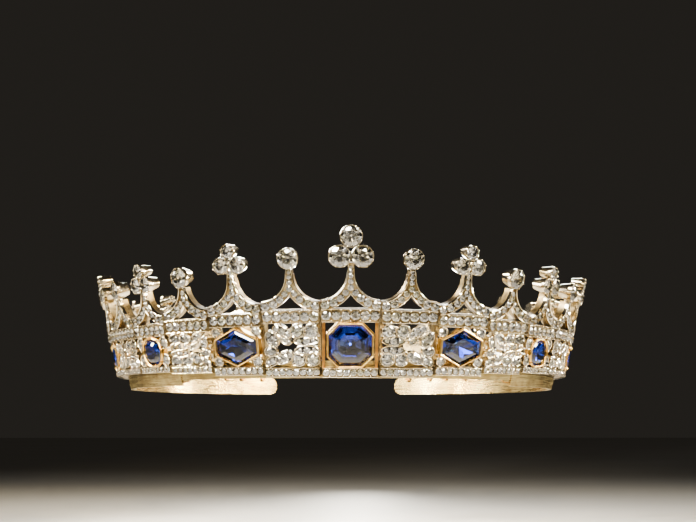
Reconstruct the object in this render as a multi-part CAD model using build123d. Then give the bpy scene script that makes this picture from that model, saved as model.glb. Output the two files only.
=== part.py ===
from build123d import *
import os
from math import atan2, cos, degrees, exp, radians, sin, sqrt, tan

# A small open-backed coronet. A plain gold browband stands on its flat bottom edge and
# carries 25 flat jewelled sections side by side, leaning outwards. Sections with a sapphire
# alternate with sections with a leaf motif, and each one ends in scalloped arms with a
# finial: a trefoil of three stones over a sapphire, a single stone over a leaf motif.
# The browband is in three lengths: a front with seven sections, and two wings with nine
# each, hinged to the front so that the gap at the back opens and closes.
# Frame: +Z up, the front faces -Y. The origin is at the middle of the whole crown's base,
# a little in front of the axis of the ring, which is AXIS_Y behind it.
# Angles run from the front towards +X. In a section's own plane, x runs along the band,
# h up its slope and n outwards from its front face.

# Driving dimensions, in millimetres and degrees.
PITCH = 12.75               # angle from one section to the next
LAST = 12                   # sections are numbered from -LAST to LAST
HINGE_AFTER = 3             # the hinges follow this section on each side
FLARE = 13.0                # outward lean of every section
AXIS_Y = 3.55               # y of the ring's axis
BASE_RADIUS = 50.6          # from the axis to a section's front face, at z = 0
PLATE = 1.4                 # thickness of a section's frame
SEAM = 0.40                 # gap between two sections on one body
HINGE_SEAM = 0.60           # gap between two sections across a hinge
TOP = 15.15                 # slope height of the front section's upper rail at its top edge
SIDE_FALL = 1.85            # how much lower that edge is at the sides and back
BOTTOM = 1.36               # slope height of the front section's bottom edge
BACK_RISE = 1.62            # how much higher the bottom edge is at the sides and back
SIDE_ANGLE = 46             # sections past this angle have the sides' heights
UPPER_RAIL, LOWER_RAIL, LOWER_RAIL_BACK = 2.65, 1.9, 1.25
SIDE_BAR, SIDE_BAR_FRONT = 0.60, -0.75   # width, and n of the front, of a section's side bars
SAPPHIRE_WALL = 0.55        # the gold round a sapphire
SCALLOP_IN, SCALLOP_OUT = 5.45, 7.45    # radii of the arms' two edges
SCALLOP_SINK = 0.35         # how far the arms run into the upper rail
STEM = 1.1
FINIAL_BACK, FINIAL_FRONT_RISE, FINIAL_SPREAD, TREFOIL_LIFT = 21.6, 3.95, 2.65, 0.15
CENTRE_COLLET, TREFOIL_COLLET, SINGLE_COLLET = 2.27, 1.75, 2.15
TREFOIL_TOP = 0.88          # size of a trefoil's top stone beside its lower ones, but not in front
COLLET_FRONT, COLLET_BACK = 0.9, -2.1   # n of a collet's two ends
STONE_WALL = 0.28           # metal round a finial stone
TOUCH = 0.03                # clearance between a stone and its seat
AIR = 0.06                  # gap between pieces that are soldered on the real object
BAND_THICKNESS, BAND_HEIGHT = 0.9, 4.6
FRONT_BAND_LOW = 1.2        # z of the front length's bottom edge; the wings' is at 0
BAND_GAP = 0.06             # from a section's back to the browband
BAND_END = 161.0            # angle of the browband's two ends
BAND_END_ROUND = 2.0
RIVET_X, RIVET_RADIUS, RIVET_HEAD, RIVET_HEAD_THICKNESS = 3.0, 0.40, 0.62, 0.35
RIVET_DEPTH = 0.8           # how far a rivet reaches into a section's lower rail
KNUCKLE, PIN, PIN_CLEARANCE = 0.95, 0.42, 0.04
PIN_HEAD, PIN_HEAD_THICKNESS = 0.70, 0.26
KNUCKLE_SPLITS = (0.45, 1.60, 2.90, 4.05)   # slope heights where the knuckles begin and end
KNUCKLE_GAP = 0.06
BAND_HINGE_GAP = 0.25       # from the hinge line to each browband end
LEAF_BACK, LEAF_FRONT, LEAF_STONE = -0.7, 0.15, 0.45
BEZEL_BACK = -0.7
LEAF_TABLE = 0.62           # size of a leaf stone at its front, as a share of its size at its back

SIN_FLARE, COS_FLARE = sin(radians(FLARE)), cos(radians(FLARE))
HALF_TAN = tan(radians(PITCH / 2))
BAND_OUT = -PLATE - BAND_GAP            # n of the browband's outer face
BAND_IN = BAND_OUT - BAND_THICKNESS
HINGE_N = BAND_IN - 0.35                # n of the hinge line
HINGE_ANGLE = PITCH * (HINGE_AFTER + 0.5)
SECTIONS = range(-LAST, LAST + 1)

# Leaf motif, for a window LEAF_WINDOW high: x, h, half length, half width and turn of each stone.
LEAF_WINDOW = 9.25
LEAF_STONES = (
    (-4.15, 3.00, 1.45, 1.40, 0), (-1.30, 3.05, 1.30, 1.25, 0), (-3.45, 0.90, 2.05, 0.78, 4),
    (1.75, 2.75, 1.60, 1.20, -25), (4.35, 2.72, 1.25, 1.20, 0), (3.75, 0.65, 1.60, 0.80, 20),
    (-4.20, -3.00, 1.35, 1.25, 0), (-1.40, -3.10, 1.30, 1.15, 0), (-3.45, -1.10, 2.00, 0.78, -4),
    (1.60, -2.75, 1.55, 1.10, 25), (4.40, -3.00, 1.15, 1.15, 0), (3.85, -1.15, 1.55, 0.80, -16),
)


def sideness(k):
    """0 for the front section, growing to 1 for those at the sides and back."""
    angle = min(abs(k) * PITCH, SIDE_ANGLE)
    return (sin(radians(angle)) / sin(radians(SIDE_ANGLE))) ** 2


def bottom(k):
    return BOTTOM + BACK_RISE * sideness(k)


def top(k):
    return TOP - SIDE_FALL * sideness(k)


def lower_rail(k):
    return LOWER_RAIL + (LOWER_RAIL_BACK - LOWER_RAIL) * sideness(k)


def window_span(k):
    """Slope heights of the lowest and highest line of section k's window."""
    return bottom(k) + lower_rail(k), top(k) - UPPER_RAIL


def finial_height(k):
    """Slope height of a single finial stone, or of a trefoil's two lower ones."""
    height = FINIAL_BACK + FINIAL_FRONT_RISE * exp(-abs(k / FINIAL_SPREAD) ** 3)
    return height + TREFOIL_LIFT if is_trefoil(k) else height


def collet_radius(k):
    if k == 0:
        return CENTRE_COLLET
    return TREFOIL_COLLET if is_trefoil(k) else SINGLE_COLLET


def is_trefoil(k):
    return k % 2 == 0


def has_sapphire(k):
    return k % 2 == 0 and abs(k) < LAST


def side_x(h, seam):
    """Half of a section's width at slope height h."""
    return (BASE_RADIUS + h * SIN_FLARE) * HALF_TAN - seam / 2


def seams(k):
    """The gaps at section k's lower-x and higher-x side."""
    left = HINGE_SEAM if k in (-HINGE_AFTER, HINGE_AFTER + 1) else SEAM
    right = HINGE_SEAM if k in (HINGE_AFTER, -HINGE_AFTER - 1) else SEAM
    return left, right


def slope_plane(angle):
    """The plane of a section at this angle: X along the band, Y up the slope, Z outwards."""
    a = radians(angle)
    radial = Vector(sin(a), -cos(a), 0)
    along = Vector(cos(a), sin(a), 0)
    outward = radial * COS_FLARE - Vector(0, 0, SIN_FLARE)
    return Plane(origin=radial * BASE_RADIUS, x_dir=along, z_dir=outward)


def place(k, shape):
    return slope_plane(PITCH * k).location * shape


def strip(k, low, high, inset):
    """The part of section k between two slope heights, taken in at its sides by inset."""
    left, right = seams(k)
    points = [
        (-side_x(low, left) + inset, low), (side_x(low, right) - inset, low),
        (side_x(high, right) - inset, high), (-side_x(high, left) + inset, high),
    ]
    return make_face(Polyline(*points, close=True))


def slab(sketch, low, high):
    """The sketch as a plate from n = low to n = high."""
    return Pos(0, 0, low) * extrude(sketch, amount=high - low)


def tapered(base, end, height):
    """A straight-sided solid from one outline to another, height away."""
    return loft([base.face(), Pos(0, 0, height) * end.face()], ruled=True)


def finial_spots(k):
    """x, slope height and radius of each collet of section k's finial."""
    h, r = finial_height(k), collet_radius(k)
    if not is_trefoil(k):
        return [(0, h, r)]
    apart = r + AIR / 2
    top_r = r if k == 0 else r * TREFOIL_TOP
    lift = sqrt((r + top_r + AIR) ** 2 - apart ** 2)
    return [(-apart, h, r), (apart, h, r), (0, h + lift, top_r)]


def arms(k):
    """The two scalloped arms and the stem, as a sketch."""
    centre_x = side_x(top(k) + SCALLOP_OUT, 0)
    centre_h = top(k) + SCALLOP_OUT - SCALLOP_SINK
    crest = finial_height(k) - collet_radius(k) - AIR
    if is_trefoil(k):
        crest = finial_height(k) - AIR - collet_radius(k) * 0.55
    discs = Pos(-centre_x, centre_h) * Circle(SCALLOP_OUT) + Pos(centre_x, centre_h) * Circle(SCALLOP_OUT)
    holes = Pos(-centre_x, centre_h) * Circle(SCALLOP_IN) + Pos(centre_x, centre_h) * Circle(SCALLOP_IN)
    shape = (discs - holes) & strip(k, top(k) - 0.2, min(crest, centre_h), 0)
    if crest > centre_h:
        stem_low = centre_h - 1
        shape += Pos(0, (stem_low + crest) / 2) * Rectangle(STEM, crest - stem_low)
    for x, h, r in finial_spots(k):
        shape -= Pos(x, h) * Circle(r + AIR)
    return shape


def section_frame(k):
    """Two rails and the arms, joined by two thinner side bars, with two blind rivet holes."""
    low, high = window_span(k)
    rails = strip(k, bottom(k), low, 0) + strip(k, high, top(k), 0)
    bars = strip(k, low - 0.5, high + 0.5, 0) - strip(k, low - 1, high + 1, SIDE_BAR)
    frame = slab(rails + arms(k), -PLATE, 0) + slab(bars, -PLATE, SIDE_BAR_FRONT)
    hole = Cylinder(RIVET_RADIUS + TOUCH, RIVET_DEPTH * 2)
    for x in (-RIVET_X, RIVET_X):
        frame -= Pos(x, rivet_height(k), -PLATE) * hole
    return place(k, frame)


def rivet_height(k):
    return bottom(k) + lower_rail(k) / 2


def rivets(k):
    """The rivets that hold section k, each with a domed head inside the browband."""
    made = []
    for x in (-RIVET_X, RIVET_X):
        # The round browband falls back from the flat section away from its middle.
        fall = x * x / (2 * BASE_RADIUS) * COS_FLARE
        head_low = BAND_IN - fall - RIVET_HEAD_THICKNESS - TOUCH
        shank = Pos(0, 0, head_low) * Cylinder(
            RIVET_RADIUS, -PLATE + RIVET_DEPTH - TOUCH - head_low,
            align=(Align.CENTER, Align.CENTER, Align.MIN))
        head = Pos(0, 0, head_low - 0.2) * Cylinder(
            RIVET_HEAD, RIVET_HEAD_THICKNESS, align=(Align.CENTER, Align.CENTER, Align.MIN))
        made.append(place(k, Pos(x, rivet_height(k), 0) * (shank + head)))
    return made


def rivet_holes(k):
    hole = Cylinder(RIVET_RADIUS + TOUCH, 6)
    return [place(k, Pos(x, rivet_height(k), BAND_IN) * hole) for x in (-RIVET_X, RIVET_X)]


def stone_profile(radius, grow=0):
    """Half section of a round stone, point down, girdle at height 0."""
    r = radius + grow
    points = [(0, -r * 0.86 - grow), (r, 0), (r, 0.12), (r * 0.58, 0.12 + r * 0.34), (0, 0.12 + r * 0.34)]
    return make_face(Polyline(*[(x, 0, z) for x, z in points], close=True))


def collet(r):
    """A deep tapered cup with a seat for a round stone."""
    girdle = COLLET_FRONT - 0.2
    wall = [(0, COLLET_BACK), (r * 0.66, COLLET_BACK), (r, girdle - 0.5), (r, COLLET_FRONT), (0, COLLET_FRONT)]
    cup = revolve(make_face(Polyline(*[(x, 0, z) for x, z in wall], close=True)), Axis.Z)
    seat = Pos(0, 0, girdle) * revolve(stone_profile(r - STONE_WALL, TOUCH), Axis.Z)
    mouth = Pos(0, 0, girdle) * Cylinder(r - STONE_WALL + TOUCH, 1, align=(Align.CENTER, Align.CENTER, Align.MIN))
    return cup - seat - mouth


def collets(k):
    return [place(k, Pos(x, h, 0) * collet(r)) for x, h, r in finial_spots(k)]


def finial_diamonds(k):
    made = []
    for x, h, r in finial_spots(k):
        stone = revolve(stone_profile(r - STONE_WALL), Axis.Z)
        made.append(place(k, Pos(x, h, COLLET_FRONT - 0.2) * stone))
    return made


def sapphire_outline(k, width, height):
    """The girdle outline of section k's sapphire."""
    x, h = width / 2, height / 2
    if k == 0:
        cut = 0.24 * width
        points = [(x, h - cut), (x - cut, h), (cut - x, h), (-x, h - cut),
                  (-x, cut - h), (cut - x, -h), (x - cut, -h), (x, cut - h)]
        return make_face(Polyline(*points, close=True))
    if abs(k) == 2:
        shoulder = 0.4 * h
        points = [(x, shoulder), (0, h), (-x, shoulder), (-x, -shoulder), (0, -h), (x, -shoulder)]
        return make_face(Polyline(*points, close=True))
    return RectangleRounded(width, height, 0.42 * height)


def sapphire_size(k):
    """Width and height of section k's sapphire."""
    low, high = window_span(k)
    height = high - low - 2 * SAPPHIRE_WALL
    return {0: 8.5, 2: 9.0}.get(abs(k), height * 1.14), height


def sapphire(k):
    """A stone with a bevelled crown and a tapered pavilion."""
    width, height = sapphire_size(k)
    low, high = window_span(k)
    girdle = sapphire_outline(k, width, height)
    table = sapphire_outline(k, width - 1.9, height - 1.9)
    point = sapphire_outline(k, width - 2.6, height - 2.6)
    stone = tapered(girdle, table, 0.85) + tapered(girdle, point, -1.5)
    return place(k, Pos(0, (low + high) / 2, 0.35) * stone)


def bezel(k):
    """The gold wall round a sapphire, with a ledge under the stone's girdle."""
    width, height = sapphire_size(k)
    low, high = window_span(k)
    middle = (low + high) / 2
    outer = Pos(0, middle) * sapphire_outline(k, width + 2 * SAPPHIRE_WALL, height + 2 * SAPPHIRE_WALL)
    inner = sapphire_outline(k, width + 2 * TOUCH, height + 2 * TOUCH)
    ledge = sapphire_outline(k, width - 0.5, height - 0.5)
    ring = slab(outer, BEZEL_BACK, 0.7)
    ring -= Pos(0, middle, 0) * slab(inner, -0.1, 2)
    ring -= Pos(0, middle, 0) * slab(ledge, -2, 0)
    return place(k, ring)


def leaf_sign(k):
    """Leaf motifs are mirrored left to right, and each is the mirror of the next one along."""
    side = 1 if k > 0 else -1
    return side if abs(k) % 4 == 1 else -side


def leaf_spots(k):
    """x, slope height, half length, half width and turn of each leaf stone of section k."""
    low, high = window_span(k)
    squeeze = (high - low) / LEAF_WINDOW
    sign = leaf_sign(k)
    return [(sign * x, (low + high) / 2 + h * squeeze, a, b * squeeze, sign * turn)
            for x, h, a, b, turn in LEAF_STONES]


def leaf_setting(k):
    """The pierced plate that holds a leaf motif's stones, cut to the window's edge."""
    low, high = window_span(k)
    middle = (low + high) / 2
    tie = 1.9 * (high - low) / LEAF_WINDOW
    shape = Pos(0, middle + tie) * Rectangle(11, 0.6) + Pos(0, middle - tie) * Rectangle(11, 0.6)
    for x, h, a, b, turn in leaf_spots(k):
        shape += Pos(x, h) * Rot(0, 0, turn) * Ellipse(a + 0.22, b + 0.22)
    shape &= strip(k, low, high, 0.03)
    return place(k, slab(shape, LEAF_BACK, LEAF_FRONT))


def leaf_diamonds(k):
    made = []
    for x, h, a, b, turn in leaf_spots(k):
        wide, tall = a * 0.9, b * 0.9
        stone = tapered(Ellipse(wide, tall), Ellipse(wide * LEAF_TABLE, tall * LEAF_TABLE), LEAF_STONE)
        made.append(place(k, Pos(x, h, LEAF_FRONT) * Rot(0, 0, turn) * stone))
    return made


def slope_point(h, n):
    """Radius and height of a point on the round cone through the sections' middles."""
    return BASE_RADIUS + h * SIN_FLARE + n * COS_FLARE, h * COS_FLARE - n * SIN_FLARE


def cone_radius(z, n):
    """Radius of the cone at offset n, at height z."""
    h = (z + n * SIN_FLARE) / COS_FLARE
    return slope_point(h, n)[0]


def band_arc(start, end, low):
    """The browband from one angle to another, level at its bottom and top edges."""
    points = [(cone_radius(z, n), 0, z) for z, n in
              ((low, BAND_IN), (low, BAND_OUT), (BAND_HEIGHT, BAND_OUT), (BAND_HEIGHT, BAND_IN))]
    turned = revolve(make_face(Polyline(*points, close=True)), Axis.Z, revolution_arc=end - start)
    return Rot(0, 0, start - 90) * turned


def hinge_frame(side):
    """The plane of a hinge: its Y runs up the hinge line, and its Z points outwards."""
    return slope_plane(side * HINGE_ANGLE)


def knuckle(side, first, last, radius):
    """A barrel on the hinge line, between two slope heights."""
    barrel = Pos(0, first, HINGE_N) * Rot(-90, 0, 0) * Cylinder(
        radius, last - first, align=(Align.CENTER, Align.CENTER, Align.MIN))
    return hinge_frame(side).location * barrel


def knuckle_spans(own):
    """Slope spans of the wing's knuckle, or of the front's two."""
    a, b, c, d = KNUCKLE_SPLITS
    return [(b, c)] if own == "wing" else [(a, b - KNUCKLE_GAP), (c + KNUCKLE_GAP, d)]


def with_knuckles(band, side, own):
    """The browband with this side's knuckles, and with room for the other half's."""
    other = "front" if own == "wing" else "wing"
    for first, last in knuckle_spans(other):
        band -= knuckle(side, first - KNUCKLE_GAP, last + KNUCKLE_GAP, KNUCKLE + 0.15)
    for first, last in knuckle_spans(own):
        band += knuckle(side, first, last, KNUCKLE)
    clearance = PIN_CLEARANCE if own == "wing" else TOUCH
    band -= knuckle(side, -2, KNUCKLE_SPLITS[0], PIN_HEAD + 0.06)
    return band - knuckle(side, -2, 9, PIN + clearance)


def hinge_gap_angle():
    return degrees(BAND_HINGE_GAP / BASE_RADIUS)


def front_browband():
    half = HINGE_ANGLE - hinge_gap_angle()
    band = band_arc(-half, half, FRONT_BAND_LOW)
    for side in (-1, 1):
        band = with_knuckles(band, side, "front")
    for k in range(-HINGE_AFTER, HINGE_AFTER + 1):
        for hole in rivet_holes(k):
            band -= hole
    return band


def wing_browband(side):
    near = HINGE_ANGLE + hinge_gap_angle()
    band = band_arc(near, BAND_END, 0) if side > 0 else band_arc(-BAND_END, -near, 0)
    ends = [e for e in band.edges() if e.length < 2 * BAND_THICKNESS and edge_angle(e) > BAND_END - 1]
    band = fillet(ends, BAND_END_ROUND)
    band = with_knuckles(band, side, "wing")
    for k in wing_sections(side):
        for hole in rivet_holes(k):
            band -= hole
    return band


def edge_angle(edge):
    """Angle of an edge's middle from the front, the same way round on both sides."""
    point = edge.center()
    return abs(degrees(atan2(point.X, -point.Y)))


def hinge_pin(side):
    """A plain pin with a small round head under the lowest knuckle."""
    first, last = KNUCKLE_SPLITS[0], KNUCKLE_SPLITS[-1]
    head = knuckle(side, first - PIN_HEAD_THICKNESS - 0.02, first - 0.02, PIN_HEAD)
    return head + knuckle(side, first - 0.1, last + 0.2, PIN)


def wing_sections(side):
    return [side * k for k in range(HINGE_AFTER + 1, LAST + 1)]


def frame_name(k):
    if k == 0:
        return "centre_section_frame"
    return f"{'right' if k > 0 else 'left'}_section_frame_{abs(k):02d}"


def write(name, solids):
    """One STEP file: a lone solid, or a group of separate ones."""
    solids = [Pos(0, AXIS_Y, 0) * s for shape in solids for s in shape.solids()]
    shape = solids[0] if len(solids) == 1 else Compound(children=solids)
    shape.label = name
    export_step(shape, f"parts/{name}.step")


SAPPHIRE_NODES = {
    "centre_sapphire": (0,),
    "left_hexagonal_sapphire": (-2,), "right_hexagonal_sapphire": (2,),
    "left_cushion_sapphire": (-4,), "right_cushion_sapphire": (4,),
    "left_side_sapphire": (-6,), "right_side_sapphire": (6,),
    "left_back_sapphires": (-8, -10), "right_back_sapphires": (8, 10),
}


def main():
    os.makedirs("parts", exist_ok=True)
    for k in SECTIONS:
        write(frame_name(k), [section_frame(k)])
    for name, members in SAPPHIRE_NODES.items():
        write(name, [sapphire(k) for k in members])
    bodies = {
        "front": list(range(-HINGE_AFTER, HINGE_AFTER + 1)),
        "left_wing": wing_sections(-1), "right_wing": wing_sections(1),
    }
    for body, members in bodies.items():
        write(f"{body}_sapphire_bezels", [bezel(k) for k in members if has_sapphire(k)])
        write(f"{body}_trefoil_collets", [c for k in members if is_trefoil(k) for c in collets(k)])
        write(f"{body}_single_collets", [c for k in members if not is_trefoil(k) for c in collets(k)])
        write(f"{body}_finial_diamonds", [d for k in members for d in finial_diamonds(k)])
        write(f"{body}_leaf_settings", [leaf_setting(k) for k in members if not has_sapphire(k)])
        write(f"{body}_leaf_diamonds", [d for k in members if not has_sapphire(k) for d in leaf_diamonds(k)])
        write(f"{body}_rivets", [r for k in members for r in rivets(k)])
    write("front_browband", [front_browband()])
    write("left_wing_browband", [wing_browband(-1)])
    write("right_wing_browband", [wing_browband(1)])
    write("hinge_pins", [hinge_pin(-1), hinge_pin(1)])


main()
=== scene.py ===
"""The looks of a sapphire and diamond coronet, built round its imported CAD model.

The browband, section frames, bezels, collets, rivets and pins are the CAD nodes, with better
materials. Cut stones, leaf-shaped cups, raised edges, grains, rims and claws are built here, section
by section. A section's own coordinates, in millimetres, are x along the band, h up its slope and n
outwards from the frame's front face.
"""

import random
from math import acos, asin, cos, exp, pi, radians, sin, sqrt, tan

import bpy
from mathutils import Euler, Matrix, Vector


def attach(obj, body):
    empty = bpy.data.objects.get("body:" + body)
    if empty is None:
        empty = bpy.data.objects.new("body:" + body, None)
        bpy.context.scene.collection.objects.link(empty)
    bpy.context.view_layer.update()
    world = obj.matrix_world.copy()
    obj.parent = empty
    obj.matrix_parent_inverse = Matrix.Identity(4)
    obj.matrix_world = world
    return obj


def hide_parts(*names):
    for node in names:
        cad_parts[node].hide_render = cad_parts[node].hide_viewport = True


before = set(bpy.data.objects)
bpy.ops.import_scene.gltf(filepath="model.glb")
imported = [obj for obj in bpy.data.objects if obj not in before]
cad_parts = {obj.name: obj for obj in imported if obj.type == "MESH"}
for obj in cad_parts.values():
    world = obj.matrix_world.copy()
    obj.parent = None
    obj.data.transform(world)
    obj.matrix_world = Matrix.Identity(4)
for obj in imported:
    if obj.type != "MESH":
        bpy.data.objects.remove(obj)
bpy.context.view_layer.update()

# The coronet's driving dimensions, the same as the CAD model's.
PITCH = 12.75
LAST = 12
HINGE_AFTER = 3
FLARE = 13.0
AXIS_Y = 3.55
BASE_RADIUS = 50.6
SEAM = 0.40
HINGE_SEAM = 0.60
TOP, SIDE_FALL = 15.15, 1.85
BOTTOM, BACK_RISE = 1.36, 1.62
SIDE_ANGLE = 46
UPPER_RAIL, LOWER_RAIL, LOWER_RAIL_BACK = 2.65, 1.9, 1.25
SCALLOP_IN, SCALLOP_OUT, SCALLOP_SINK = 5.45, 7.45, 0.35
STEM = 1.1
FINIAL_BACK, FINIAL_FRONT_RISE, FINIAL_SPREAD, TREFOIL_LIFT = 21.6, 3.95, 2.65, 0.15
CENTRE_COLLET, TREFOIL_COLLET, SINGLE_COLLET = 2.27, 1.75, 2.15
TREFOIL_TOP = 0.88
COLLET_FRONT, AIR = 0.9, 0.06
LEAF_WINDOW = 9.25
LEAF_BACK = -0.7
SAPPHIRE_WALL, BEZEL_FRONT = 0.55, 0.7
BODIES = {
    "front": list(range(-HINGE_AFTER, HINGE_AFTER + 1)),
    "left_wing": list(range(-LAST, -HINGE_AFTER)),
    "right_wing": list(range(HINGE_AFTER + 1, LAST + 1)),
}

# Leaf motif, for a window LEAF_WINDOW high: x, h, half length, half width and turn of each leaf.
LEAVES = (
    (-4.10, 2.85, 1.45, 1.40, 0), (-1.15, 2.95, 1.35, 1.25, 0), (-3.00, 0.95, 2.45, 0.85, 0),
    (1.95, 2.90, 1.95, 1.00, 28), (4.05, 1.35, 1.65, 1.15, 58), (1.30, 1.10, 1.20, 0.62, 35),
    (-4.15, -2.95, 1.40, 1.30, 0), (-1.25, -3.05, 1.35, 1.20, 0), (-3.05, -1.00, 2.40, 0.82, 0),
    (1.65, -2.55, 1.80, 1.10, -24), (4.35, -1.15, 1.15, 0.98, 0), (4.10, -3.25, 1.40, 0.90, -30),
)

# Detail that only the looks have. A name that ends in _N is a height along n.

# Raised edges: half their width, their height, and how far their foot is sunk into the frame.
EDGE_HALF, EDGE_HEIGHT, SUNK = 0.075, 0.80, 0.05
INNER_EDGE_HALF = 0.10
EDGE_STEPS = 20                 # straight runs in the edge of one arm

# Rows of stones on the rails, with grains between them.
RAIL_STONES, LOWER_RAIL_STONES = 6, 8
RAIL_STONE_N = 0.70
STONE_CLEARANCE, STONE_TUCK = 0.02, 0.06    # round each stone; how much of it the edges may cover
GRAIN, GRAIN_INSET, GRAIN_N = 0.17, 0.12, 0.62

# Stones up each arm: degrees up the arc, and radius. Then those up the stem above them.
ARM_STONES = ((10, 0.88), (25.5, 0.86), (40.5, 0.80), (54, 0.66))
ARM_STONE_SHIFT, ARM_STONE_N = 0.02, 0.60
STEM_START_DEGREES, STEM_START_LIFT = 57, 1.25
STEM_STONE, SMALLEST_STEM_STONE, STEM_STONE_N = 0.66, 0.42, 0.55
STEM_STEP, STEM_SHRINK = 1.9, 0.86          # spacing in radii; each radius against the one below
ARM_OVERLAP, STEM_OVERLAP = 0.2, 0.1        # how far the last stone may rise past the crest

# Finials: the width of a cup's rim and the grains on it.
RIM, FINIAL_GRAINS = 0.13, 8
FINIAL_STONE_SINK, FINIAL_GRAIN_RISE = 0.02, 0.1

# Leaf cups and the stones in them.
CUP_HALF, CUP_MARGIN, LEAF_CUP_N = 0.11, 0.08, 0.62
TIE_OFFSET, TIE_HALF, TIE_THICKNESS, TIE_GAP = 1.9, 0.22, 0.5, 0.05     # bars behind the cups
ROUND_LEAF, ROUND_FILL = 0.85, 0.98         # a leaf at least this wide for its length has one stone
LEAF_FILL, SIDE_SPREAD, SIDE_FILL = 0.92, 0.60, 0.62
SIDE_TOUCH, SIDE_MARGIN = 0.7, 0.8
LEAF_STONE_N, SIDE_STONE_N = 0.42, 0.44
HINGE_SIDE_WIDTH = 0.94         # the leaf motif beside a hinge is this much narrower

# Sapphires, and what stands beside them.
HEXAGONAL = 2                   # the sections this far from the front have hexagonal sapphires
CENTRE_WIDTH, HEXAGONAL_WIDTH = 8.5, 9.0
CUSHION_WIDTH = 1.14            # of the stone's height
SAPPHIRE_N = 0.35
FACET_SIZE, FACET_DEPTH = 0.52, 0.62        # where the lower facets meet, of the outline and the depth
CORNER_STONE, SIDE_STONE = 0.98, 1.25
CORNER_CUP_N, CORNER_STONE_N = 0.55, 0.38
CORNER_GAP_H, CORNER_GAP_X = 0.12, 0.14
BAR_OFFSET, BAR_HALF, BAR_N = 0.50, 0.28, -0.1
KITE_OUT, KITE_HALF, KITE_IN = 0.95, 0.75, 0.3
CLAW, CLAW_HEIGHT, CLAW_N = 0.36, 0.85, 0.3
CLAW_X, CLAW_H = 0.45, 0.44     # of the stone's width and height

dice = random.Random(11)


# ---- the coronet's geometry -------------------------------------------------------------

def sideness(k):
    """0 for the front section, growing to 1 for those at the sides and back."""
    angle = min(abs(k) * PITCH, SIDE_ANGLE)
    return (sin(radians(angle)) / sin(radians(SIDE_ANGLE))) ** 2


def bottom(k):
    return BOTTOM + BACK_RISE * sideness(k)


def top(k):
    return TOP - SIDE_FALL * sideness(k)


def lower_rail(k):
    return LOWER_RAIL + (LOWER_RAIL_BACK - LOWER_RAIL) * sideness(k)


def window_span(k):
    return bottom(k) + lower_rail(k), top(k) - UPPER_RAIL


def finial_height(k):
    height = FINIAL_BACK + FINIAL_FRONT_RISE * exp(-abs(k / FINIAL_SPREAD) ** 3)
    return height + TREFOIL_LIFT if is_trefoil(k) else height


def is_trefoil(k):
    return k % 2 == 0


def has_sapphire(k):
    return k % 2 == 0 and abs(k) < LAST


def collet_radius(k):
    if k == 0:
        return CENTRE_COLLET
    return TREFOIL_COLLET if is_trefoil(k) else SINGLE_COLLET


def side_x(h, seam):
    return (BASE_RADIUS + h * sin(radians(FLARE))) * tan(radians(PITCH / 2)) - seam / 2


def seams(k):
    left = HINGE_SEAM if k in (-HINGE_AFTER, HINGE_AFTER + 1) else SEAM
    right = HINGE_SEAM if k in (HINGE_AFTER, -HINGE_AFTER - 1) else SEAM
    return left, right


def finial_spots(k):
    """x, slope height and radius of each cup of section k's finial."""
    h, r = finial_height(k), collet_radius(k)
    if not is_trefoil(k):
        return [(0, h, r)]
    apart = r + AIR / 2
    top_r = r if k == 0 else r * TREFOIL_TOP
    lift = sqrt((r + top_r + AIR) ** 2 - apart ** 2)
    return [(-apart, h, r), (apart, h, r), (0, h + lift, top_r)]


def section_matrix(k):
    """Takes a section's own millimetres to metres in the frame."""
    a, f = radians(PITCH * k), radians(FLARE)
    radial = Vector((sin(a), -cos(a), 0))
    along = Vector((cos(a), sin(a), 0))
    up = radial * sin(f) + Vector((0, 0, cos(f)))
    out = radial * cos(f) - Vector((0, 0, sin(f)))
    origin = radial * BASE_RADIUS + Vector((0, AXIS_Y, 0))
    turn = Matrix((along, up, out)).transposed().to_4x4()
    return Matrix.Scale(0.001, 4) @ Matrix.Translation(origin) @ turn


# ---- small shapes, each a list of points and a list of faces ----------------------------

class Pile:
    """Many small shapes that become one piece."""

    def __init__(self):
        self.points = []
        self.faces = []

    def add(self, shape, matrix):
        points, faces = shape
        base = len(self.points)
        self.points += [matrix @ Vector(p) for p in points]
        self.faces += [[base + i for i in face] for face in faces]

    def build(self, name, body, material, slot, smooth=False, replaces=()):
        mesh = bpy.data.meshes.new(name)
        mesh.from_pydata(self.points, [], self.faces)
        mesh.validate()
        for polygon in mesh.polygons:
            polygon.use_smooth = smooth
        mesh.materials.append(material)
        piece = bpy.data.objects.new(name, mesh)
        bpy.context.collection.objects.link(piece)
        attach(piece, body)
        if replaces:
            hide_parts(*replaces)
        return piece


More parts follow.
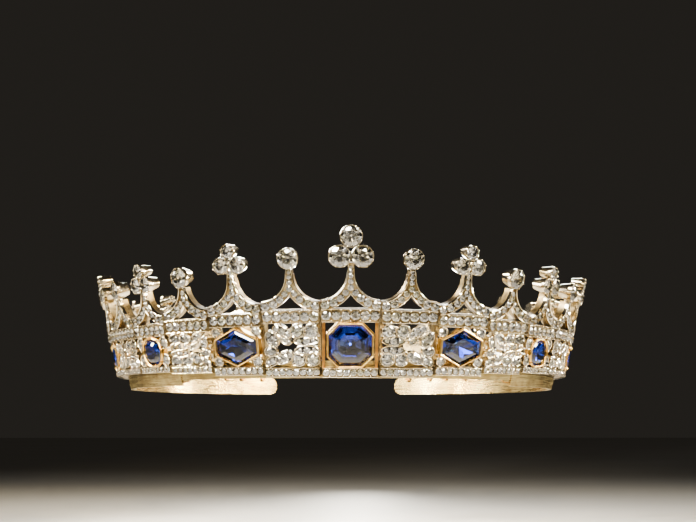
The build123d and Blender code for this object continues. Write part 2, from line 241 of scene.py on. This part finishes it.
def brilliant(rx, ry, table=0.56, crown=0.30, pavilion=0.82):
    """A stone with eight main facets above and below, its girdle at height 0."""
    mid, low = 0.80, 0.28
    size = min(rx, ry)
    mid_z = crown * (1 - mid * cos(pi / 8)) / (1 - table)
    low_z = -pavilion * (1 - low * cos(pi / 8))
    points = []

    def ring(count, turn, radius, z):
        first = len(points)
        for i in range(count):
            angle = 2 * pi * (i + turn) / count
            points.append((rx * radius * cos(angle), ry * radius * sin(angle), size * z))
        return [first + i for i in range(count)]

    table_ring = ring(8, 0, table, crown)
    mid_ring = ring(8, 0.5, mid, mid_z)
    girdle = ring(16, 0, 1, 0)
    low_ring = ring(8, 0.5, low, low_z)
    culet = len(points)
    points.append((0, 0, -size * pavilion))
    faces = [table_ring]
    for i in range(8):
        j, before = (i + 1) % 8, (i - 1) % 8
        g0, g1, g2 = girdle[2 * i], girdle[2 * i + 1], girdle[(2 * i + 2) % 16]
        faces.append([table_ring[j], table_ring[i], mid_ring[i]])
        faces.append([table_ring[i], mid_ring[before], g0, mid_ring[i]])
        faces.append([mid_ring[i], g0, g1])
        faces.append([mid_ring[i], g1, g2])
        faces.append([low_ring[i], g1, g0])
        faces.append([low_ring[i], g2, g1])
        faces.append([culet, low_ring[i], g0, low_ring[before]])
    return points, faces


def stepped(outline, steps):
    """A step-cut stone: the outline scaled and lifted for each step, closed at both ends."""
    points = []
    for scale, z in steps:
        points += [(x * scale, y * scale, z) for x, y in outline]
    count = len(outline)
    faces = [list(range(count))]
    for s in range(len(steps) - 1):
        for i in range(count):
            j = (i + 1) % count
            a, b = s * count, (s + 1) * count
            faces.append([a + j, a + i, b + i, b + j])
    faces.append([(len(steps) - 1) * count + i for i in reversed(range(count))])
    return points, faces


def ribbon(path, half, low, high, closed=True):
    """A wall along a path of x and h, with a rounded ridge for its upper edge."""
    profile = ((-half, low), (-half, high - half), (-half * 0.55, high - half * 0.25),
               (0, high), (half * 0.55, high - half * 0.25), (half, high - half), (half, low))
    points = []
    count = len(path)
    for i, (x, h) in enumerate(path):
        before = path[i - 1] if closed or i else path[i]
        after = path[(i + 1) % count] if closed or i < count - 1 else path[i]
        a1 = Vector((x - before[0], h - before[1]))
        a2 = Vector((after[0] - x, after[1] - h))
        a1 = a1.normalized() if a1.length > 1e-9 else a2.normalized()
        a2 = a2.normalized() if a2.length > 1e-9 else a1
        middle = (a1 + a2).normalized()
        stretch = 1 / max(0.5, middle.dot(a1))
        side = Vector((middle.y, -middle.x)) * stretch
        points += [(x + side.x * s, h + side.y * s, n) for s, n in profile]
    wide = len(profile)
    faces = []
    for i in range(count if closed else count - 1):
        a, b = i * wide, ((i + 1) % count) * wide
        for p in range(wide - 1):
            faces.append([a + p, a + p + 1, b + p + 1, b + p])
    if not closed:
        faces.append(list(range(wide)))
        faces.append([(count - 1) * wide + p for p in reversed(range(wide))])
    return points, faces


def block(low_x, high_x, low_h, high_h, low_n, high_n):
    corners = [(x, h, n) for n in (low_n, high_n) for x, h in
               ((low_x, low_h), (high_x, low_h), (high_x, high_h), (low_x, high_h))]
    faces = [(3, 2, 1, 0), (4, 5, 6, 7), (0, 1, 5, 4), (1, 2, 6, 5), (2, 3, 7, 6), (3, 0, 4, 7)]
    return corners, faces


def ball(radius, rings=4, around=8):
    """A grain: a small ball with its poles along n."""
    points = [(0, 0, radius)]
    for r in range(1, rings):
        angle = pi * r / rings
        for i in range(around):
            turn = 2 * pi * i / around
            points.append((radius * sin(angle) * cos(turn), radius * sin(angle) * sin(turn),
                           radius * cos(angle)))
    points.append((0, 0, -radius))
    faces = [[0, 1 + i, 1 + (i + 1) % around] for i in range(around)]
    for r in range(rings - 2):
        a, b = 1 + r * around, 1 + (r + 1) * around
        for i in range(around):
            j = (i + 1) % around
            faces.append([a + i, b + i, b + j, a + j])
    last = 1 + (rings - 2) * around
    faces += [[last + (i + 1) % around, last + i, len(points) - 1] for i in range(around)]
    return points, faces


def claw(radius, height):
    """A tapered claw with a domed head, standing along n."""
    steps = ((1, 0), (0.95, height * 0.7), (0.80, height * 0.9), (0.45, height))
    circle = [(radius * cos(2 * pi * i / 10), radius * sin(2 * pi * i / 10)) for i in range(10)]
    points, faces = stepped(circle, steps)
    return points, [list(reversed(f)) for f in faces]


def ellipse_path(x, h, a, b, turn, count=28):
    """Points round an ellipse in a section's plane."""
    c, s = cos(radians(turn)), sin(radians(turn))
    path = []
    for i in range(count):
        u, v = a * cos(2 * pi * i / count), b * sin(2 * pi * i / count)
        path.append((x + u * c - v * s, h + u * s + v * c))
    return path


# ---- materials --------------------------------------------------------------------------

def node_material(name):
    """A new material: its tree's node maker, its linker and its Principled shader."""
    material = bpy.data.materials.new(name)
    material.use_nodes = True
    nodes, links = material.node_tree.nodes, material.node_tree.links
    return material, nodes, links.new, nodes["Principled BSDF"]


def object_noise(nodes, link, scale, stretch=(1, 1, 1), detail=4):
    """Noise in the object's own coordinates, in metres."""
    where = nodes.new("ShaderNodeTexCoord")
    mapping = nodes.new("ShaderNodeMapping")
    mapping.inputs["Scale"].default_value = stretch
    noise = nodes.new("ShaderNodeTexNoise")
    noise.inputs["Scale"].default_value = scale
    noise.inputs["Detail"].default_value = detail
    link(where.outputs["Object"], mapping.inputs["Vector"])
    link(mapping.outputs["Vector"], noise.inputs["Vector"])
    return noise


def ramp(nodes, link, source, stops):
    """A colour ramp fed from source, with (position, colour) stops."""
    node = nodes.new("ShaderNodeValToRGB")
    elements = node.color_ramp.elements
    while len(elements) < len(stops):
        elements.new(0.5)
    for element, (position, colour) in zip(elements, stops):
        element.position = position
        element.color = (*colour, 1)
    link(source, node.inputs["Fac"])
    return node


def level(nodes, link, source, low, high):
    """Maps a 0 to 1 source onto a range of numbers."""
    node = nodes.new("ShaderNodeMapRange")
    node.inputs["From Min"].default_value = 0.3
    node.inputs["From Max"].default_value = 0.7
    node.inputs["To Min"].default_value = low
    node.inputs["To Max"].default_value = high
    link(source, node.inputs["Value"])
    return node


def bumped(nodes, link, shader, source, strength, distance):
    bump = nodes.new("ShaderNodeBump")
    bump.inputs["Strength"].default_value = strength
    bump.inputs["Distance"].default_value = distance
    link(source, bump.inputs["Height"])
    link(bump.outputs["Normal"], shader.inputs["Normal"])


def metal(name, bright, dull, roughness, grain_scale, stretch=(1, 1, 1), bump=0.25):
    """A polished metal clouded at random between its bright and dull colours, with uneven polish and fine
    tool marks.
    """
    material, nodes, link, shader = node_material(name)
    shader.inputs["Metallic"].default_value = 1
    clouds = object_noise(nodes, link, 420, detail=5)
    colour = ramp(nodes, link, clouds.outputs["Fac"], ((0.34, dull), (0.62, bright)))
    link(colour.outputs["Color"], shader.inputs["Base Color"])
    marks = object_noise(nodes, link, grain_scale, stretch)
    rough = level(nodes, link, marks.outputs["Fac"], roughness[0], roughness[1])
    link(rough.outputs["Result"], shader.inputs["Roughness"])
    bumped(nodes, link, shader, marks.outputs["Fac"], bump, 0.00003)
    return material


def cut_stone(name, ior, stops, cells, shine):
    """A clear cut stone whose tint varies from one small cell to the next."""
    material, nodes, link, shader = node_material(name)
    shader.inputs["Transmission Weight"].default_value = 1
    shader.inputs["IOR"].default_value = ior
    shader.inputs["Specular IOR Level"].default_value = shine
    shader.inputs["Roughness"].default_value = 0.0
    where = nodes.new("ShaderNodeTexCoord")
    voronoi = nodes.new("ShaderNodeTexVoronoi")
    voronoi.inputs["Scale"].default_value = cells
    link(where.outputs["Object"], voronoi.inputs["Vector"])
    split = nodes.new("ShaderNodeSeparateColor")
    link(voronoi.outputs["Color"], split.inputs["Color"])
    tint = ramp(nodes, link, split.outputs["Red"], stops)
    link(tint.outputs["Color"], shader.inputs["Base Color"])
    return material


def make_materials():
    # The frame silver's two colours are painted shade: darkened far below real silver so the frames read
    # dark and brown between the stones.
    silver_in_painted_shade, silver_in_deeper_painted_shade = (0.34, 0.26, 0.13), (0.10, 0.065, 0.025)
    bright_silver, dull_silver = (0.97, 0.89, 0.70), (0.56, 0.44, 0.23)
    cup_silver, cup_shadow = (0.92, 0.84, 0.66), (0.40, 0.31, 0.16)
    satin_gold, satin_shadow = (0.42, 0.21, 0.045), (0.16, 0.07, 0.02)
    gold, deep_gold = (0.98, 0.67, 0.20), (0.50, 0.26, 0.045)
    # The band gold's two colours are painted shade: darkened well below real gold to stand in for the
    # dimmer light on the band.
    band_gold_in_painted_shade, band_gold_in_deeper_painted_shade = (0.56, 0.43, 0.17), (0.36, 0.24, 0.08)
    # The diamonds' tinted cells are painted light: warm, cool and olive glints standing in for the stones'
    # fire.
    painted_fire_tints = (
        (0.00, (1.0, 1.0, 1.0)), (0.30, (1.0, 0.97, 0.86)), (0.50, (0.97, 0.98, 1.0)),
        (0.64, (1.0, 0.86, 0.56)), (0.78, (0.84, 0.92, 1.0)), (0.90, (0.80, 0.76, 0.44)),
    )
    sapphire_tints = (
        (0.0, (0.001, 0.004, 0.09)), (0.5, (0.005, 0.018, 0.24)), (1.0, (0.017, 0.065, 0.50)),
    )
    return {
        # Frame silver: both colours darkened as painted shade; the clouds between them are random.
        "silver": metal("silver_with_painted_shade", silver_in_painted_shade, silver_in_deeper_painted_shade, (0.26, 0.44), 2600),
        "edge": metal("polished_silver_edge", bright_silver, dull_silver, (0.06, 0.16), 3000),
        "cup": metal("polished_silver_cup", cup_silver, cup_shadow, (0.08, 0.20), 2600),
        # Band gold: both colours darkened as painted shade; the clouds between them are random.
        "band": metal("band_gold_with_painted_shade", band_gold_in_painted_shade, band_gold_in_deeper_painted_shade, (0.20, 0.34), 160, (1, 1, 30), 0.5),
        "gold": metal("bright_gold", gold, deep_gold, (0.10, 0.24), 2200),
        "satin": metal("satin_gold", satin_gold, satin_shadow, (0.25, 0.42), 3200),
        # Diamond cell tints are painted coloured glints in place of fire.
        "diamond": cut_stone("cut_diamond", 2.42, painted_fire_tints, 900, 0.5),
        "sapphire": cut_stone("cut_sapphire", 1.77, sapphire_tints, 260, 0.10),
    }


# A word in a CAD node's name, and the look such nodes get. The last one fits every other name.
LOOKS = (
    ("browband", "band"), ("bezels", "gold"), ("rivets", "satin"), ("pins", "satin"),
    ("sapphire", "sapphire"), ("diamonds", "diamond"), ("collets", "cup"), ("", "silver"),
)


def dress_cad(materials):
    """Gives every CAD node the look of the first word of LOOKS that is in its name."""
    for name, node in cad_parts.items():
        look = next(look for word, look in LOOKS if word in name)
        node.data.materials.clear()
        node.data.materials.append(materials[look])


# ---- stones and settings ----------------------------------------------------------------

def seated(x, h, n, tilt=4):
    """Where a stone sits: turned at random about its axis, and a little off square."""
    wobble = Euler((radians(dice.uniform(-tilt, tilt)), radians(dice.uniform(-tilt, tilt)),
                    dice.uniform(0, pi / 4)))
    return Matrix.Translation((x, h, n)) @ wobble.to_matrix().to_4x4()


def add_stone(pile, k, x, h, n, radius):
    pile.add(brilliant(radius, radius), section_matrix(k) @ seated(x, h, n))


def rail_rows(k):
    """Lowest and highest slope height and stone count of each rail of section k."""
    low, high = window_span(k)
    return ((high, top(k), RAIL_STONES), (bottom(k), low, LOWER_RAIL_STONES))


def rail_setting(k, stones, edges, grains):
    """A raised edge along the top and bottom of each rail, with stones and grains between them."""
    place = section_matrix(k)
    left, right = seams(k)
    for low, high, count in rail_rows(k):
        for h in (low + EDGE_HALF, high - EDGE_HALF):
            path = [(-side_x(h, left), h), (side_x(h, right), h)]
            edges.add(ribbon(path, EDGE_HALF, -SUNK, EDGE_HEIGHT, closed=False), place)
        middle = (low + high) / 2
        start, end = -side_x(middle, left), side_x(middle, right)
        step = (end - start) / count
        radius = min(step, high - low - 4 * EDGE_HALF + STONE_TUCK) / 2 - STONE_CLEARANCE
        for i in range(count):
            add_stone(stones, k, start + step * (i + 0.5), middle, RAIL_STONE_N, radius)
        for i in range(1, count):
            for h in (low + 2 * EDGE_HALF + GRAIN_INSET, high - 2 * EDGE_HALF - GRAIN_INSET):
                spot = Matrix.Translation((start + step * i, h, GRAIN_N))
                grains.add(ball(GRAIN), place @ spot)


def arm_point(k, radius, degrees_up, side):
    """A point on an arm's arc, degrees_up from the arm's lowest point."""
    centre_x = side_x(top(k) + SCALLOP_OUT, 0)
    centre_h = top(k) + SCALLOP_OUT - SCALLOP_SINK
    a = radians(degrees_up)
    return side * (centre_x - radius * sin(a)), centre_h - radius * cos(a)


def arm_limits(k, radius):
    """Degrees up the arm at which an arc of this radius starts and ends."""
    centre_x = side_x(top(k) + SCALLOP_OUT, 0)
    centre_h = top(k) + SCALLOP_OUT - SCALLOP_SINK
    start = asin((centre_x - side_x(top(k), max(seams(k))) + 0.02) / radius)
    rise = (centre_h - crest(k)) / radius
    end = min(asin(min(1, centre_x / radius)), acos(max(0, rise)))
    return start / pi * 180, end / pi * 180


def crest(k):
    """Slope height at which the arms or the stem meet the finial."""
    drop = 0.55 if is_trefoil(k) else 1
    return finial_height(k) - AIR - collet_radius(k) * drop


def arm_edges(k, edges):
    """Raised edges on the two scalloped arms: the inner ones run on up the stem to its crest."""
    place = section_matrix(k)
    inner = SCALLOP_IN + INNER_EDGE_HALF, INNER_EDGE_HALF
    outer = SCALLOP_OUT - EDGE_HALF, EDGE_HALF
    for radius, half in (inner, outer):
        first, last = arm_limits(k, radius)
        for side in (-1, 1):
            path = []
            for i in range(EDGE_STEPS + 1):
                path.append(arm_point(k, radius, first + (last - first) * i / EDGE_STEPS, side))
            if half == INNER_EDGE_HALF:
                path.append((side * (STEM / 2 - half), crest(k)))
            if side > 0:
                path.reverse()
            edges.add(ribbon(path, half, -SUNK, EDGE_HEIGHT - SUNK, closed=False), place)


def arm_stones(k, stones):
    """Stones on the two scalloped arms, as far up as the crest leaves room."""
    middle = (SCALLOP_IN + SCALLOP_OUT) / 2 + ARM_STONE_SHIFT
    for up, radius in ARM_STONES:
        for side in (-1, 1):
            x, h = arm_point(k, middle, up, side)
            if h + radius < crest(k) + ARM_OVERLAP:
                add_stone(stones, k, x, h, ARM_STONE_N, radius)


def stem_stones(k, stones):
    """Stones up the stem, each smaller than the one below it."""
    h = arm_point(k, SCALLOP_OUT, STEM_START_DEGREES, 1)[1] + STEM_START_LIFT
    radius = STEM_STONE
    while h + radius < crest(k) + STEM_OVERLAP:
        add_stone(stones, k, 0, h, STEM_STONE_N, radius)
        h += radius * STEM_STEP
        radius = max(SMALLEST_STEM_STONE, radius * STEM_SHRINK)


def finial_setting(k, stones, grains):
    """The faceted stones in the finial's cups, each held by grains on the cup's rim."""
    place = section_matrix(k)
    for x, h, r in finial_spots(k):
        inside = r - RIM
        add_stone(stones, k, x, h, COLLET_FRONT - FINIAL_STONE_SINK, inside)
        for number in range(FINIAL_GRAINS):
            angle = 2 * pi * (number + 0.5) / FINIAL_GRAINS
            spot = (x + inside * cos(angle), h + inside * sin(angle), COLLET_FRONT + FINIAL_GRAIN_RISE)
            grains.add(ball(GRAIN), place @ Matrix.Translation(spot))


def leaf_spots(k):
    """x, h, half length, half width and turn of each leaf of section k."""
    low, high = window_span(k)
    squeeze = (high - low) / LEAF_WINDOW
    side = 1 if k > 0 else -1
    sign = side if abs(k) % 4 == 1 else -side
    narrow = HINGE_SIDE_WIDTH if abs(k) == HINGE_AFTER else 1
    return [(sign * x * narrow, (low + high) / 2 + h * squeeze, a, b * squeeze, sign * turn)
            for x, h, a, b, turn in LEAVES]


def leaf_setting(k, stones, edges):
    """Open-backed silver cups in the shapes of leaves, filled with stones, on two tie bars."""
    place = section_matrix(k)
    low, high = window_span(k)
    middle = (low + high) / 2
    for h in (-TIE_OFFSET, TIE_OFFSET):
        height = middle + h * (high - low) / LEAF_WINDOW
        side = side_x(height, SEAM) - TIE_GAP
        bar = block(-side, side, height - TIE_HALF, height + TIE_HALF,
                    LEAF_BACK, LEAF_BACK + TIE_THICKNESS)
        edges.add(bar, place)
    for x, h, a, b, turn in leaf_spots(k):
        outline = ellipse_path(x, h, a + CUP_MARGIN, b + CUP_MARGIN, turn)
        edges.add(ribbon(outline, CUP_HALF, LEAF_BACK, LEAF_CUP_N), place)
        fill_leaf(k, stones, (x, h, a, b, turn))


def fill_leaf(k, stones, leaf):
    """One stone in a round leaf cup, or a large one between two small ones in a long cup."""
    x, h, a, b, turn = leaf
    if b > a * ROUND_LEAF:
        add_stone(stones, k, x, h, LEAF_STONE_N, min(a, b) * ROUND_FILL)
        return
    c, s = cos(radians(turn)), sin(radians(turn))
    spread, side_size = a * SIDE_SPREAD, b * SIDE_FILL
    add_stone(stones, k, x, h, LEAF_STONE_N, b * LEAF_FILL)
    for way in (-1, 1):
        reach = way * max(spread, b * LEAF_FILL + side_size * SIDE_TOUCH)
        reach = max(-a + side_size * SIDE_MARGIN, min(a - side_size * SIDE_MARGIN, reach))
        add_stone(stones, k, x + reach * c, h + reach * s, SIDE_STONE_N, side_size)


def sapphire_size(k):
    """Width and height of section k's sapphire."""
    low, high = window_span(k)
    height = high - low - 2 * SAPPHIRE_WALL
    width = {0: CENTRE_WIDTH, HEXAGONAL: HEXAGONAL_WIDTH}.get(abs(k), height * CUSHION_WIDTH)
    return width, height


def sapphire_outline(k, grow=0):
    """The girdle outline of section k's sapphire, anticlockwise, moved outwards by grow."""
    width, height = (side + 2 * grow for side in sapphire_size(k))
    x, h = width / 2, height / 2
    if k == 0:
        cut = 0.24 * width
        return [(x, h - cut), (x - cut, h), (cut - x, h), (-x, h - cut),
                (-x, cut - h), (cut - x, -h), (x - cut, -h), (x, cut - h)]
    if abs(k) == HEXAGONAL:
        shoulder = 0.4 * h
        return [(x, shoulder), (0, h), (-x, shoulder), (-x, -shoulder), (0, -h), (x, -shoulder)]
    corner = 0.42 * height
    path = []
    for cx, ch, start in ((x - corner, h - corner, 0), (corner - x, h - corner, 90),
                          (corner - x, corner - h, 180), (x - corner, corner - h, 270)):
        for step in range(4):
            angle = radians(start + 30 * step)
            path.append((cx + corner * cos(angle), ch + corner * sin(angle)))
    return path


def faceted(outline, crown, pavilion):
    """A mixed-cut stone: steps above, and below it facets that meet at a point."""
    count = len(outline)
    points, faces = stepped(outline, ((0.56, crown), (0.80, crown * 0.66), (1, 0.04), (1, 0)))
    faces.pop()
    girdle = 3 * count
    low = len(points)
    for i in range(count):
        x = (outline[i][0] + outline[(i + 1) % count][0]) / 2
        y = (outline[i][1] + outline[(i + 1) % count][1]) / 2
        points.append((x * FACET_SIZE, y * FACET_SIZE, -pavilion * FACET_DEPTH))
    culet = len(points)
    points.append((0, 0, -pavilion))
    for i in range(count):
        j, before = (i + 1) % count, (i - 1) % count
        faces.append([girdle + j, girdle + i, low + i])
        faces.append([girdle + i, low + before, culet, low + i])
    return points, faces


def sapphire_shape(k):
    """A step cut for the middle stone, and mixed cuts for the others."""
    outline = sapphire_outline(k)
    if k == 0:
        steps = ((0.50, 0.95), (0.68, 0.80), (0.85, 0.50), (1, 0.03), (1, -0.03), (0.78, -0.95),
                 (0.52, -1.75), (0.25, -2.30), (0.05, -2.50))
        return stepped(outline, steps)
    return faceted(outline, 0.85, 2.0 if abs(k) == HEXAGONAL else 1.6)


def corner_setting(k, stones, cups):
    """Four small round stones in cups, in the window's corners beside any sapphire but the front one.

    All keep the distance from the section's side that those beside a hinge need.
    """
    low, high = window_span(k)
    middle = (low + high) / 2
    place = section_matrix(k)
    size = CORNER_STONE if abs(k) == HEXAGONAL else SIDE_STONE
    reach = (high - low) / 2 - size - CORNER_GAP_H
    for sx in (-1, 1):
        for sh in (-1, 1):
            h = middle + sh * reach
            x = sx * (side_x(h, HINGE_SEAM) - size - CORNER_GAP_X)
            outline = ellipse_path(x, h, size, size, 0)
            cups.add(ribbon(outline, CUP_HALF, LEAF_BACK, CORNER_CUP_N), place)
            add_stone(stones, k, x, h, CORNER_STONE_N, size - CUP_MARGIN)


def set_sapphires(materials):
    """Puts each cut sapphire in the place of its CAD stone."""
    groups = {
        "centre_sapphire": (0,),
        "left_hexagonal_sapphire": (-2,), "right_hexagonal_sapphire": (2,),
        "left_cushion_sapphire": (-4,), "right_cushion_sapphire": (4,),
        "left_side_sapphire": (-6,), "right_side_sapphire": (6,),
        "left_back_sapphires": (-8, -10), "right_back_sapphires": (8, 10),
    }
    for node, members in groups.items():
        pile = Pile()
        for k in members:
            low, high = window_span(k)
            spot = Matrix.Translation((0, (low + high) / 2, SAPPHIRE_N))
            pile.add(sapphire_shape(k), section_matrix(k) @ spot)
        body = next(b for b, sections in BODIES.items() if members[0] in sections)
        pile.build("cut_" + node, body, materials["sapphire"], "sapphire", replaces=(node,))


def sapphire_trim(k, gold, deep_gold):
    """A rounded rim on the bezel, and what stands beside each shape of stone."""
    low, high = window_span(k)
    middle = (low + high) / 2
    place = section_matrix(k) @ Matrix.Translation((0, middle, 0))
    width, height = sapphire_size(k)
    rim = sapphire_outline(k, SAPPHIRE_WALL * 0.5)
    gold.add(ribbon(rim, SAPPHIRE_WALL * 0.45, BEZEL_FRONT - 0.1, BEZEL_FRONT + 0.3), place)
    if k == 0:
        for side in (-1, 1):
            x = side * (width / 2 + SAPPHIRE_WALL + BAR_OFFSET)
            bar = block(x - BAR_HALF, x + BAR_HALF, low - middle, high - middle, LEAF_BACK, BAR_N)
            deep_gold.add(bar, place)
    elif abs(k) == HEXAGONAL:
        outer = 1 if k > 0 else -1
        kite = [(KITE_OUT * outer, 0), (0, KITE_HALF * outer), (-KITE_IN * outer, 0),
                (0, -KITE_HALF * outer)]
        spot = Matrix.Translation((outer * (width / 2 + SAPPHIRE_WALL), 0, 0))
        gold.add(stepped(kite, ((0.5, 0.85), (1, 0.6), (1, -0.6))), place @ spot)
    else:
        for sx in (-1, 1):
            for sh in (-1, 1):
                spot = Matrix.Translation((sx * width * CLAW_X, sh * height * CLAW_H, CLAW_N))
                gold.add(claw(CLAW, CLAW_HEIGHT), place @ spot)


def build_body(body, sections, materials):
    """Everything on one body: stones, edges, grains and gold trim."""
    rail, arm, finial, leaf = Pile(), Pile(), Pile(), Pile()
    edges, leaf_cups, grains, gold, deep_gold = Pile(), Pile(), Pile(), Pile(), Pile()
    for k in sections:
        rail_setting(k, rail, edges, grains)
        arm_edges(k, edges)
        arm_stones(k, arm)
        stem_stones(k, arm)
        finial_setting(k, finial, grains)
        if has_sapphire(k):
            sapphire_trim(k, gold, deep_gold)
            if k != 0:
                corner_setting(k, leaf, leaf_cups)
        else:
            leaf_setting(k, leaf, leaf_cups)
    rail.build(body + "_rail_stones", body, materials["diamond"], "diamond")
    arm.build(body + "_arm_stones", body, materials["diamond"], "diamond")
    finial.build(body + "_finial_stones", body, materials["diamond"], "diamond",
                 replaces=(body + "_finial_diamonds",))
    leaf.build(body + "_leaf_stones", body, materials["diamond"], "diamond",
               replaces=(body + "_leaf_diamonds",))
    edges.build(body + "_raised_edges", body, materials["edge"], "frame_silver")
    leaf_cups.build(body + "_leaf_cups", body, materials["cup"], "leaf_silver",
                    replaces=(body + "_leaf_settings",))
    grains.build(body + "_grains", body, materials["edge"], "frame_silver", smooth=True)
    gold.build(body + "_gold_trim", body, materials["gold"], "bezel_gold")
    if deep_gold.points:
        deep_gold.build(body + "_deep_gold_bars", body, materials["satin"], "bezel_gold")


# ---- stage, lights and camera -----------------------------------------------------------

# In metres and degrees. The camera stands below the base, so the floor is lower than the coronet.
FLOOR_Z, FLOOR_REACH = -0.035, 3.0
BEAM = 26                       # full angle of every light's beam
LIGHT_AIM = (0, 0, 0.012)
CAMERA_DISTANCE, CAMERA_BELOW, CAMERA_ASIDE = 0.330, 0.00854, 0.00156
CAMERA_TURN, CAMERA_TILT, CAMERA_LENS = -2.19, 6.783, 71.99


def make_floor():
    material, nodes, link, shader = node_material("pale_floor")
    mottle = object_noise(nodes, link, 6)
    stops = ((0.3, (0.60, 0.59, 0.57)), (0.7, (0.66, 0.65, 0.63)))
    tone = ramp(nodes, link, mottle.outputs["Fac"], stops)
    link(tone.outputs["Color"], shader.inputs["Base Color"])
    shader.inputs["Roughness"].default_value = 0.6
    mesh = bpy.data.meshes.new("floor")
    corners = [(x * FLOOR_REACH, y * FLOOR_REACH, FLOOR_Z) for x, y in ((-1, -1), (1, -1), (1, 1), (-1, 1))]
    mesh.from_pydata(corners, [], [(0, 1, 2, 3)])
    mesh.materials.append(material)
    floor = bpy.data.objects.new("floor", mesh)
    bpy.context.collection.objects.link(floor)


def area_light(name, position, size, watts, colour):
    """A square light with a narrow beam, aimed at the middle of the coronet."""
    data = bpy.data.lights.new(name, "AREA")
    data.size = size
    data.energy = watts
    data.color = colour
    data.spread = radians(BEAM)
    light = bpy.data.objects.new(name, data)
    light.location = position
    aim = Vector(LIGHT_AIM) - Vector(position)
    light.rotation_euler = aim.to_track_quat("-Z", "Y").to_euler()
    bpy.context.collection.objects.link(light)


def light_ring(name, count, radius, heights, size, watts, colours):
    """A ring of equal lights round the coronet, taking heights and colours in turn."""
    for number in range(count):
        angle = 2 * pi * (number + 0.35) / count
        height = heights[number % len(heights)]
        spot = (radius * cos(angle), radius * sin(angle), height)
        area_light(f"{name}_{number}", spot, size, watts, colours[number % len(colours)])


def make_lights():
    world = bpy.data.worlds.new("studio")
    world.use_nodes = True
    background = world.node_tree.nodes["Background"]
    background.inputs["Color"].default_value = (0.040, 0.036, 0.030, 1)
    background.inputs["Strength"].default_value = 0.5
    bpy.context.scene.world = world
    warm, cool, white = (1.0, 0.80, 0.50), (0.84, 0.91, 1.0), (1, 0.94, 0.82)
    area_light("key", (-0.22, -0.45, 0.55), 0.16, 0.26, white)
    area_light("side", (0.50, -0.35, 0.40), 0.12, 0.18, warm)
    area_light("low_front", (0.05, -0.60, 0.03), 0.04, 0.012, warm)
    area_light("back", (0.10, 0.55, 0.45), 0.16, 0.07, cool)
    light_ring("panel", 9, 0.55, (0.16, 0.36), 0.07, 0.035, (white,))
    light_ring("sparkle", 18, 0.50, (0.04, 0.17, 0.30, 0.44), 0.022, 0.060, (white, warm))


def make_camera():
    data = bpy.data.cameras.new("camera")
    data.lens = CAMERA_LENS
    data.sensor_width = 36
    data.clip_start = 0.01
    camera = bpy.data.objects.new("camera", data)
    turn = Matrix.Rotation(radians(CAMERA_TURN), 4, "Z")
    spot = turn @ Vector((CAMERA_ASIDE, -CAMERA_DISTANCE, -CAMERA_BELOW))
    camera.location = spot + Vector((0, AXIS_Y / 1000, 0))
    camera.rotation_euler = (radians(90 + CAMERA_TILT), 0, radians(CAMERA_TURN))
    bpy.context.collection.objects.link(camera)
    bpy.context.scene.camera = camera


def main():
    materials = make_materials()
    dress_cad(materials)
    for body, sections in BODIES.items():
        build_body(body, sections, materials)
    set_sapphires(materials)
    make_floor()
    make_lights()
    make_camera()


main()
